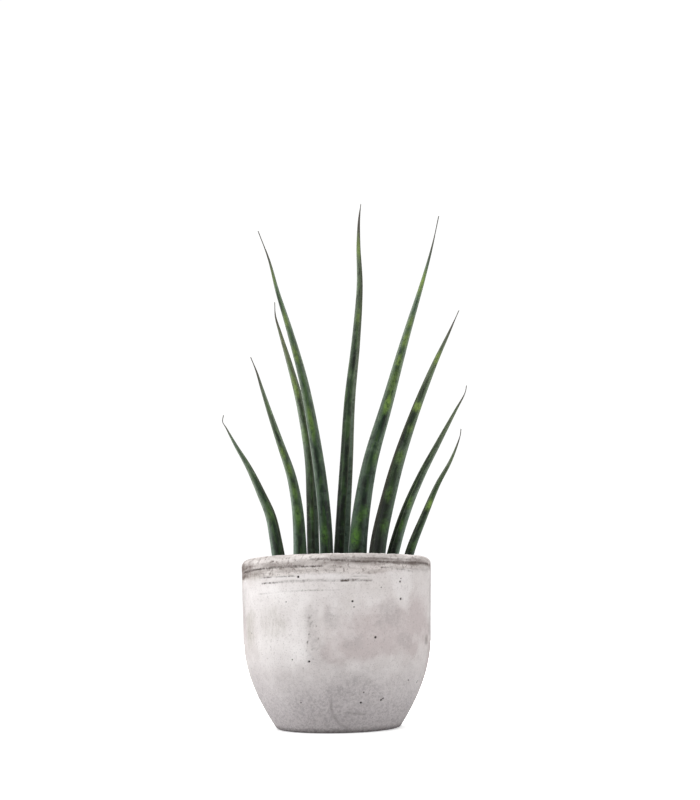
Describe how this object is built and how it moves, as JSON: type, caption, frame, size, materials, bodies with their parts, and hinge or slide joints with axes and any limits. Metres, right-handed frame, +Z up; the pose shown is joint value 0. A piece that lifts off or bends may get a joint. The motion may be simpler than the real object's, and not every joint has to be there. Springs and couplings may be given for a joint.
{
  "type": "potted fernwood snake plant",
  "caption": "Slender channelled snake plant leaves fanning up out of soil in a round cast concrete pot with a rolled rim and a drawn-in foot.",
  "frame": {"origin": "centre of the pot's flat base, on the surface it stands on", "axes": "+Z up along the pot's axis, +X to the right and -Y towards the viewer as the plant is seen from the front"},
  "size_m": [0.1972, 0.1455, 0.4261],
  "materials": {
    "concrete": "matte",
    "soil": "matte",
    "leaf": "satin"
  },
  "bodies": {
    "root": {"pot": "concrete", "soil": "soil", "leaf_1": "leaf", "leaf_2": "leaf", "leaf_3": "leaf", "leaf_4": "leaf", "leaf_5": "leaf", "leaf_6": "leaf", "leaf_7": "leaf", "leaf_8": "leaf", "leaf_9": "leaf"}
  },
  "joints": []
}
